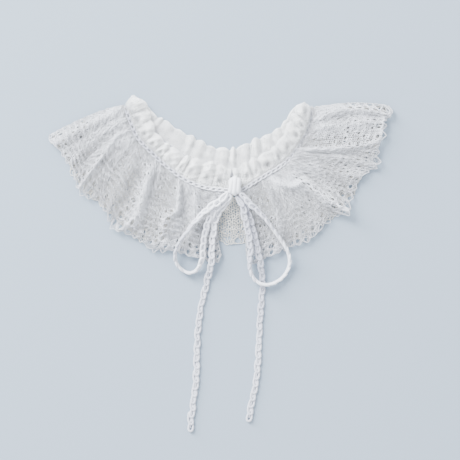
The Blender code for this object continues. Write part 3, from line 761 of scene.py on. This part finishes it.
def layFlounce(look, columns, rng):
    # from the flat cut to the cloth as it lies, and how far up a crease's crest it is, which paints light on
    # it, or shade in a fall
    folds, line = look["folds"], PathLine(look["neck"])
    fine = np.linspace(0, len(folds) - 1, routeSteps * len(folds))
    foldTable = np.array([smoothRow(folds, t) for t in fine])
    waves = softWaves(rng, waveCount, look["waveLength"], look["wave"])

    def toSpace(x, y, above):
        fold = readTable(fine, foldTable, np.interp(x / look["pitch"], range(len(columns)), columns))
        along, middle, end = fold[:, 0], fold[:, 1:3], fold[:, 3:5]
        share, past = np.minimum(y / look["depth"], 1.0), np.maximum(y - look["depth"], 0.0)
        start = readTable(line.far, line.points, along)
        inward = middle - start
        start = start + neckLook["seamHalf"] * inward / np.linalg.norm(inward, axis=1)[:, None]
        outward = (end - middle) / np.linalg.norm(end - middle, axis=1)[:, None]
        spot = throughThree(start, middle, end, share[:, None]) + past[:, None] * outward
        lift = np.maximum(0.0, throughThree(0.0, fold[:, 5], fold[:, 6], share))
        lift = lift * ramp(0, neckLook["flat"], share)
        gather = 0.5 - 0.5 * np.cos(2 * math.pi * along / neckLook["gatherPitch"])
        lift = lift + look["gather"] * gather * hump(neckLook["gatherUp"], neckLook["gatherDown"], share)
        swell = neckLook["swellEven"] + (1 - neckLook["swellEven"]) * gather
        lift = lift + look["swell"] * swell * hump(neckLook["swellUp"], neckLook["swellDown"], share)
        high, crest = crestAt(spot, look["creases"])
        lift = lift + (high + waveHeight(waves, *spot.T)) * ramp(*neckLook["creaseFade"], share)
        height = look["rest"] + look["rise"] * (1 - ramp(0.0, neckLook["slope"], share)) + lift + above
        return np.column_stack([spot, height]), crest

    return toSpace


def flounce(name, look):
    rng = np.random.default_rng(look["seed"])
    columns = flounceColumns(look["folds"], look["pitch"])
    width = (len(columns) - 1) * look["pitch"]
    leafEnd, upper, lower = depthsOf(look)
    bands = max(1, round((upper - leafEnd) / look["bandPitch"]))
    toSpace = layFlounce(look, columns, rng)
    holes = hemHoles(look, width, rng) + leafHoles(look, width, rng)
    holes += zigzagHoles(look, columns, width) + bandHoles(look, width, bands, rng)
    relief = flounceRelief(look, bands, rng)
    edge = flounceHem(look, width, rng)
    clothPiece(name, look, width, toSpace, knit(look, width, toSpace, holes, relief, edge, rng))


flounceLook = {  # what the three stretches of the flounce share
    "leafEnd": 0.5, "leafHoles": 4, "bandPitch": 6.0, "mottleLength": 9.0, "cutAt": 1.0,
    "borders": ((1.0, 1.1), (0.0, 1.0)),
}
laceBack = flounceLook | {
    "node": "flounce_back", "finish": lowerFinish, "neck": neckBack, "restsOn": (), "seed": 3,
    "pitch": 4.6, "depth": 62.0, "stitches": 140, "courses": 26, "yarn": 0.79, "wobble": 0.42,
    "rest": 0.75, "rise": 0.0, "gather": 0.0, "swell": 0.0, "floor": 0.0, "wave": 0.06, "waveLength": 22.0,
    "hemRows": (0.78, 0.9), "point": 2.6, "mesh": 1.9, "openSecond": False, "zigzag": 0, "beaded": (),
    "leafPitch": (18.4, 9.0), "leafStep": (2.3, 1.9), "leafHole": 0.35, "leafStrength": 0.3,
    "mottle": 0.7, "ridgeStrength": 0.4, "bandStep": 4.6, "bandHole": 0.5,
    "creases": (  # width, rise and line
        (11.0, 0.15, ((11, 4), (11, -34))),
        (8.0, -0.3, ((4, -55), (22, -56))),
    ),
    "folds": (  # along the neck line, middle x y, hem x y, lift in the middle and at the hem
        (0.0, -118.8, 52.2, -152.1, 36.0, -0.9, -0.9), (8.9, -110.7, 31.5, -138.6, 17.1, 0.9, 0.9),
        (21.6, -97.2, 15.3, -124.2, -8.1, -0.9, -0.9), (36.9, -81.0, 1.8, -102.6, -27.0, 0.9, 0.9),
        (49.6, -67.5, -9.9, -88.2, -43.2, -0.9, -0.9), (62.6, -51.3, -18.9, -66.6, -56.7, 0.9, 0.9),
        (75.1, -35.1, -24.3, -43.2, -61.2, -0.9, -0.9), (88.4, -18.0, -26.1, -20.7, -60.3, 0.9, 0.9),
        (100.5, -1.8, -27.0, -0.9, -57.5, -0.9, -0.9), (113.0, 11.7, -27.9, 12.6, -59.4, 0.9, 0.9),
        (124.8, 25.2, -26.1, 26.1, -60.3, -0.9, -0.9), (137.4, 41.4, -22.5, 46.8, -61.2, 0.9, 0.9),
        (150.2, 57.6, -16.2, 69.3, -55.8, -0.9, -0.9), (164.3, 74.7, -4.5, 88.2, -44.1, 0.9, 0.9),
        (176.3, 89.1, 8.1, 111.6, -26.1, -0.9, -0.9), (187.3, 99.9, 24.3, 126.0, 0.9, 0.9, 0.9),
        (198.3, 108.0, 42.3, 139.5, 24.3, -0.9, -0.9), (206.0, 111.6, 54.9, 145.8, 49.5, 0.9, 0.9),
        (211.3, 115.2, 64.8, 149.4, 63.0, -0.9, -0.9),
    ),
}
frontLook = flounceLook | {  # and what the two front stretches share
    "finish": laceFinish, "restsOn": ("flounce_back",), "pitch": 4.0, "depth": 76.0, "stitches": 102,
    "courses": 39, "yarn": 0.66, "wobble": 0.13, "rest": 2.2, "rise": 2.2, "gather": 0.8, "swell": 1.1,
    "floor": 1.4, "wave": 0.16, "waveLength": 18.0, "hemRows": (0.81, 0.905), "point": 3.2, "mesh": 2.25,
    "openSecond": True, "leafPitch": (16.0, 9.0), "leafStep": (2.0, 1.9), "leafHole": 0.7, "mottle": 1.0,
    "bandStep": 4.0, "bandHole": 1.0,
}
laceFrontLeft = frontLook | {
    "node": "flounce_front_left", "neck": neckLeft, "seed": 5, "leafStrength": 0.4, "ridgeStrength": 0.9,
    "zigzag": 0,
    "beaded": (  # fold, where the holes start and end as shares of the depth, their radius and step
        (5, 0.55, 0.98, 1.1, 3.8), (9, 0.6, 0.98, 1.3, 3.8), (12, 0.45, 0.98, 1.2, 3.8),
    ),
    "creases": (
        (1.5, 0.7, ((-90, 40), (-98, 29), (-108, 15))),
        (1.7, 2.0, ((-106, 17), (-115, 6), (-123, -5), (-127, -11))),
        (3.5, -0.4, ((-82, 56), (-75, 38), (-61, 20), (-46, 6), (-34, -3))),
        (1.8, -0.4, ((-94, 25), (-104, 12), (-111, 0), (-122, -14))),
        (8.0, 1.3, ((-88, 58), (-112, 50), (-147, 36))),
        (9.0, -0.3, ((-100, -8), (-86, -22))),
        (7.0, -0.4, ((-118, 16), (-128, -4))),
        (10.0, -0.3, ((-116, -8), (-104, -26), (-94, -38))),
        (5.0, -0.4, ((-76, 2), (-83, -22), (-92, -36))),
        (5.0, -0.4, ((-45, -6), (-49, -24))),
        (5.5, -0.4, ((-58, -44), (-66, -60))),
        (1.8, -0.4, ((-87, 63), (-83, 50), (-76, 34), (-64, 21))),
        (4.0, 0.6, ((-66, -10), (-70, -24), (-74, -36))),
        (4.0, 0.9, ((-48, -60), (-41, -61))),
        (3.2, 1.7, ((-63, 6.3), (-67, -11.7), (-72, -29), (-79.2, -40.5), (-90, -45.9))),
        (6.0, 1.4, ((-71, -33), (-77, -43))),
        (1.8, -0.35, ((-57, 3), (-62, -14), (-66, -33), (-72, -47), (-87, -52))),
        (2.4, 1.9, ((-37.8, -4.5), (-37.5, -27.5), (-44.5, -34), (-51, -41), (-51.5, -53), (-46.5, -62.5))),
        (1.8, -0.4, ((-33, -8), (-32.5, -30), (-41, -38), (-45.5, -45), (-45.5, -54))),
    ),
    "folds": (
        (0.0, -120.6, 54.0, -154.8, 36.0, 0.0, 0.0), (4.6, -118.8, 45.9, -150.3, 29.7, 4.2, 3.0),
        (10.2, -117.0, 37.8, -142.5, 22.0, 2.6, 2.0), (15.0, -115.2, 30.6, -134.0, 11.5, 3.2, 2.6),
        (20.0, -110.5, 24.3, -130.5, 2.7, 1.8, 1.6), (24.5, -102.6, 24.0, -126.0, -11.7, 3.4, 2.8),
        (32.5, -94.5, 9.0, -108.0, -24.3, 1.2, 1.2), (41.5, -86.4, 1.8, -101.7, -33.3, 3.6, 2.6),
        (48.0, -78.3, -6.0, -98.0, -41.0, 1.6, 1.6), (55.5, -70.2, -13.5, -93.6, -46.8, 6.0, 3.2),
        (64.0, -61.2, -20.7, -73.8, -55.8, 1.2, 1.2), (73.0, -52.2, -27.0, -67.5, -61.0, 3.4, 2.6),
        (81.0, -41.4, -31.5, -60.5, -64.2, 6.2, 2.8), (91.0, -31.5, -36.0, -39.6, -66.6, 1.2, 1.2),
        (99.0, -22.5, -39.6, -25.2, -71.1, 4.4, 3.8), (107.5, -14.4, -42.3, -14.4, -72.9, 1.6, 1.4),
        (117.5, -6.3, -43.2, -5.4, -76.0, 2.6, 2.2), (125.5, -1.8, -44.1, 1.8, -71.1, 1.2, 1.2),
    ),
}
laceFrontRight = frontLook | {
    "node": "flounce_front_right", "neck": neckRight, "seed": 7, "leafStrength": 0.35, "ridgeStrength": 0.5,
    "zigzag": 10,
    "beaded": ((8, 0.22, 0.98, 1.5, 4.2), (14, 0.6, 0.98, 1.2, 4.2)),
    "creases": (
        (2.1, 1.9, ((78, 24.3), (108, 26.1), (141.3, 32.4), (146.7, 53.1))),
        (1.6, -0.2, ((80, 20), (108, 21), (140, 27))),
        (5.0, -0.4, ((42, -6), (58, 4), (71, 17), (80, 33), (84, 45))),
        (7.0, -0.5, ((78, -22), (90, -32), (100, -38))),
        (8.0, 1.4, ((88, 60), (100, 60), (120, 60), (145, 58))),
        (9.0, -0.5, ((56, -22), (66, -38), (62, -58))),
        (7.0, -0.3, ((24, -24), (29, -44), (30, -62))),
        (8.0, -0.3, ((96, 8), (108, -4), (112, -16))),
        (6.0, -0.3, ((120, 19), (138, 16))),
        (5.0, -0.3, ((34, -10), (44, -26))),
        (9.0, 0.4, ((90, 45), (144, 42))),
        (6.0, -0.3, ((72, -38), (77, -52))),
        (5.0, 0.8, ((46, -2.5), (58, -6), (70, -7))),
        (2.2, -0.5, ((62, 17), (70, 27), (78, 40), (83, 52), (84, 63))),
        (2.4, 2.5, ((45, -0.9), (63, -9), (76.5, -4.5), (86.4, -13.5), (103.5, -25.2), (115.2, -31.5))),
        (1.8, -0.9, ((79, -15), (83, -20), (100, -31), (111, -38))),
        (1.6, -0.7, ((66, -2), (78, 2), (90, -8), (107, -20), (118, -26))),
    ),
    "folds": (
        (0.0, 21.6, -44.1, 24.3, -73.8, 1.2, 1.4), (6.0, 31.5, -43.2, 32.4, -77.0, 3.0, 3.0),
        (13.8, 40.5, -40.5, 41.4, -72.9, 1.6, 1.6), (20.3, 49.5, -36.0, 50.4, -69.3, 4.2, 3.6),
        (26.8, 57.6, -33.3, 61.2, -63.0, 1.2, 1.2), (31.0, 64.8, -28.8, 74.7, -58.5, 2.6, 2.6),
        (35.4, 74.7, -24.3, 88.5, -51.0, 1.2, 1.6), (39.7, 80.1, -18.0, 99.0, -34.5, 2.4, 2.0),
        (43.0, 81.9, -9.9, 116.1, -31.5, 7.0, 6.2), (47.0, 90.0, -2.7, 118.8, -13.5, 1.2, 1.2),
        (51.0, 95.4, 6.3, 127.8, 0.9, 3.6, 3.2), (54.5, 99.0, 12.6, 134.1, 6.3, 1.6, 1.6),
        (58.5, 102.6, 18.0, 142.2, 9.9, 3.2, 3.6), (62.0, 106.2, 20.5, 141.3, 19.0, 2.4, 2.2),
        (66.0, 108.0, 25.4, 143.4, 31.5, 4.8, 4.4), (74.5, 111.6, 39.6, 145.8, 41.4, 1.6, 1.8),
        (82.0, 113.4, 47.7, 147.6, 49.0, 3.6, 3.6), (89.0, 115.2, 54.9, 149.2, 52.0, 1.2, 1.2),
        (95.3, 117.0, 61.2, 153.9, 55.0, 4.6, 4.2), (104.0, 117.0, 66.2, 151.2, 63.9, 0.0, 0.0),
    ),
}
flounces = {"laceBack": laceBack, "laceFrontLeft": laceFrontLeft, "laceFrontRight": laceFrontRight}
for name, look in flounces.items():
    flounce(name, look)


def layFrill(look, rng):
    # from the flat cut to the frill as it lies, and its painted light: lighter up the puffs and low waves,
    # with painted shade in the pits and by the chain
    line, edge = PathLine(look["neck"]), look["edge"]
    start, end = edge[0][0], edge[-1][0]
    gathers = round((end - start) / look["gatherPitch"])
    fine = np.linspace(start, end, look["edgeSteps"])
    marks = [row[0] for row in edge]
    topTable = np.array([smoothRow(edge, np.interp(along, marks, range(len(edge))))[1:] for along in fine])
    puffs = rng.uniform(*look["puffs"], gathers + 2)
    lean = rng.normal(0, look["lean"], gathers + 2)
    shift = rng.uniform(-look["shift"], look["shift"], gathers + 2)
    every = np.arange(0, gathers + 3, look["broadGathers"])
    broad = np.interp(np.arange(gathers + 3), every, rng.uniform(-1, 1, len(every)))
    waves = softWaves(rng, waveCount, look["waveLength"], look["wave"])

    def perGather(values, place):
        # read between the gathers, each of which has a value
        return np.interp(place, range(len(values)), values)

    def toSpace(x, y, above):
        along, v = start + x / look["fullness"], y / look["depth"]
        fromStart, fromEnd = along - start, end - along
        place = fromStart / (end - start) * gathers
        wave = place + perGather(shift, place)
        crest = abs(np.sin(math.pi * wave + perGather(lean, wave) * v / 2)) ** look["round"]
        crest = crest * perGather(puffs, wave - 0.5)
        grown = ramp(0.0, look["fades"][0], fromStart) * ramp(0.0, look["fades"][1], fromEnd)
        base, top = readTable(line.far, line.points, along), readTable(fine, topTable, along)
        across = (top - base) / np.linalg.norm(top - base, axis=1)[:, None]
        spot = base + neckLook["seamHalf"] * across
        spot = spot + (top - spot) * (v * (1 + look["scallop"] * grown * (2 * crest - 1)))[:, None]
        reach = look["reach"][1] * (1 - ramp(0, look["reachFade"], fromEnd))
        reach = reach - look["reach"][0] * (1 - ramp(0, look["reachFade"], fromStart))
        spot = spot + reach[:, None] * np.column_stack([across[:, 1], -across[:, 0]])
        dip = 1 - ramp(0.0, look["dipFade"], (fromStart, fromEnd)[look["foldEnd"]])
        # a puff is turned down at its edge
        puff = np.sin(math.pi * np.clip(v * look["turnDown"] + look["puffStart"], 0, 1))
        puff = puff * (1 + look["broad"] * perGather(broad, place))
        pitX, pitY = (wave % 1 - 0.5) / look["pitSize"][0], (v - look["pitPlace"]) / look["pitSize"][1]
        pit = np.exp(-(pitX**2) - pitY**2) * grown
        low = waveHeight(waves, *spot.T) * ramp(0.0, look["waveFade"], v) * grown
        swell = look["swell"] * (0.5 + 0.5 * crest) * hump(look["swellUp"], look["swellDown"], v)
        height = look["rest"] + look["rise"] * (1 - v * dip) + look["lift"] * grown * crest * puff + above
        height = height + swell - look["dimple"] * pit + low
        side = (1 - ramp(*look["chainPaintedShadeTop"], v)) * ramp(*look["chainPaintedShadeOut"], abs(spot[:, 0]))  # painted shade by the chain
        # painted light up the puffs and waves, and painted shade in the pits and by the chain
        paintedLight = look["puffPaintedLight"] * (crest - look["puffPaintedShade"]) * puff + look["wavePaintedLight"] * low
        return np.column_stack([spot, height]), paintedLight - look["pitPaintedShade"] * (pit + side)

    return toSpace


def frill(name, look):
    rng = np.random.default_rng(look["seed"])
    width, depth = (look["edge"][-1][0] - look["edge"][0][0]) * look["fullness"], look["depth"]
    toSpace = layFrill(look, rng)
    holes = []
    for row, share in enumerate(look["holeRows"]):
        for k in range(int(width / look["holeStep"]) + 1):
            x = (k + 0.5 * (row % 2)) * look["holeStep"]
            holes.append((x, depth * share, look["hole"] * rng.uniform(*look["holeSizes"])))

    def plain(x, y):
        return np.full(len(x), look["plainTone"])

    def topEdge(x):
        # its two tips are rounded
        tips = [1 - ramp(0, tip * look["fullness"], far) for tip, far in zip(look["tip"], (x, width - x))]
        return depth * (1 - look["tipCut"] * tips[0] - look["tipCut"] * tips[1])

    clothPiece(name, look, width, toSpace, knit(look, width, toSpace, holes, plain, topEdge, rng))


frillLook = {  # what the three stretches of the frill share
    "finish": frillFinish, "edgeSteps": 400, "wobble": 0.13, "hole": 0.6, "holeStep": 3.6,
    "holeRows": (0.15, 0.85), "holeSizes": (0.6, 1.1), "borders": ((1.0, 1.3),), "scallop": 0.08,
    "lean": 0.8, "shift": 0.3, "broad": 0.4, "broadGathers": 3, "puffStart": 0.04, "pitPlace": 0.36,
    "pitSize": (0.2, 0.17), "reachFade": 9.0, "dipFade": 5.0, "waveFade": 0.3, "swellUp": (0.0, 0.16),
    "swellDown": (0.16, 0.5), "chainPaintedShadeTop": (0.05, 0.5), "chainPaintedShadeOut": (30, 60), "wavePaintedLight": 0.3,
    "plainTone": 0.55, "tipCut": 0.24, "cutAt": 0.75,
}
frillBack = frillLook | {
    "node": "frill_back", "neck": neckBack, "restsOn": (), "seed": 13, "fullness": 1.3, "depth": 23.0,
    "stitches": 106, "courses": 13, "yarn": 0.62, "gatherPitch": 12.2, "puffs": (0.3, 1.1), "round": 1.3,
    "turnDown": 0.66, "rest": 0.6, "rise": 0.0, "lift": 2.6, "swell": 0.0, "floor": 0.0, "dimple": 0.0,
    "wave": 0.2, "waveLength": 14.0, "fades": (35.0, 35.0), "reach": (0.0, 0.0), "tip": (9.0, 9.0),
    "foldEnd": 0, "puffPaintedLight": 0.6, "puffPaintedShade": 0.0, "pitPaintedShade": 0.0,
    "edge": (  # along the neck line, and the edge's x and y
        (0.0, -75.6, 76.5), (10.0, -64.8, 62.6), (21.6, -57.6, 54.5), (37.0, -48.6, 50.4),
        (49.6, -39.2, 44.1), (75.0, -18.5, 32.4), (100.5, 0.0, 25.2), (113.0, 9.5, 24.3),
        (124.8, 18.9, 27.5), (150.0, 39.6, 36.9), (176.0, 54.9, 45.5), (198.0, 65.7, 60.8),
        (211.0, 74.7, 68.6),
    ),
}
frontFrillLook = frillLook | {  # and what the two front stretches share
    "restsOn": ("frill_back",), "fullness": 1.4, "depth": 20.0, "courses": 12, "gatherPitch": 12.4,
    "puffs": (0.6, 1.25), "round": 1.2, "turnDown": 0.8, "rest": 2.2, "rise": 2.2, "lift": 4.6, "swell": 1.1,
    "floor": 1.4, "wave": 0.26, "waveLength": 12.0, "pitPaintedShade": 1.3,
}
frillFrontLeft = frontFrillLook | {
    "node": "frill_front_left", "neck": neckLeft, "seed": 17, "stitches": 62, "yarn": 0.65, "dimple": 3.0,
    "fades": (5.0, 3.0), "reach": (0.0, 4.0), "tip": (9.0, 0.01), "foldEnd": 0, "puffPaintedLight": 0.6, "puffPaintedShade": 0.0,
    "edge": (
        (0.0, -77.4, 75.2), (7.0, -67.5, 66.2), (15.5, -63.5, 57.6), (33.0, -59.9, 44.1),
        (42.0, -56.0, 37.4), (52.0, -48.6, 30.6), (71.0, -35.1, 20.7), (91.0, -20.7, 14.4),
        (109.0, -6.0, 11.2), (125.0, 6.3, 7.6),
    ),
}
frillFrontRight = frontFrillLook | {
    "node": "frill_front_right", "neck": neckRight, "seed": 19, "stitches": 52, "yarn": 0.63, "dimple": 3.4,
    "fades": (3.0, 5.0), "reach": (4.0, 0.0), "tip": (0.01, 9.0), "foldEnd": 1, "puffPaintedLight": 1.3, "puffPaintedShade": 0.4,
    "edge": (
        (0.0, 15.6, 7.2), (9.4, 22.0, 11.2), (31.0, 38.7, 19.8), (44.0, 47.7, 26.1), (54.0, 53.1, 31.5),
        (66.0, 59.0, 41.4), (77.5, 63.5, 49.0), (89.0, 67.0, 57.6), (104.0, 73.8, 68.6),
    ),
}
frills = {"frillBack": frillBack, "frillFrontLeft": frillFrontLeft, "frillFrontRight": frillFrontRight}
for name, look in frills.items():
    frill(name, look)

# Floor and light
studio = {
    "floor": (0.31, 0.377, 0.46, 1), "floorSize": 30.0, "floorRough": 0.85,
    "grain": 0.1, "grainScale": 3.0, "grainDetail": 2.0,
    "world": (0.92, 0.96, 1.0, 1), "worldStrength": 2.08, "lightColour": (0.95, 0.98, 1.0),
    "lights": (  # name, watts, place and size
        ("key", 232.0, (-1.4, 1.6, 1.75), 1.3), ("low", 140.0, (-1.95, 1.65, 0.68), 1.0),
    ),
}
bm = bmesh.new()
bmesh.ops.create_grid(bm, x_segments=1, y_segments=1, size=studio["floorSize"] / 2)
floorMesh = bpy.data.meshes.new("floor")
bm.to_mesh(floorMesh)
bm.free()
floorFinish = Finish("floorPaper")
floorPlace = floorFinish.node("ShaderNodeTexCoord", {}, {}, "Object")
grain = floorFinish.node("ShaderNodeTexNoise", {}, {
    "Vector": floorPlace, "Scale": studio["grainScale"], "Detail": studio["grainDetail"],
})
floorFinish.set(Base_Color=studio["floor"], Roughness=studio["floorRough"] + grain * studio["grain"])
floor = bpy.data.objects.new("floor", floorMesh)
floorMesh.materials.append(floorFinish.material)
bpy.context.scene.collection.objects.link(floor)

world = bpy.data.worlds.new("studio")
world.use_nodes = True
world.node_tree.nodes["Background"].inputs["Color"].default_value = studio["world"]
world.node_tree.nodes["Background"].inputs["Strength"].default_value = studio["worldStrength"]
bpy.context.scene.world = world
for name, watts, place, size in studio["lights"]:
    lightData = bpy.data.lights.new(name, "AREA")
    lightData.energy = watts
    lightData.size = size
    lightData.color = studio["lightColour"]
    light = bpy.data.objects.new(name, lightData)
    light.location = place
    light.rotation_euler = (-Vector(place)).to_track_quat("-Z", "Y").to_euler()
    bpy.context.scene.collection.objects.link(light)
print("studio lit")
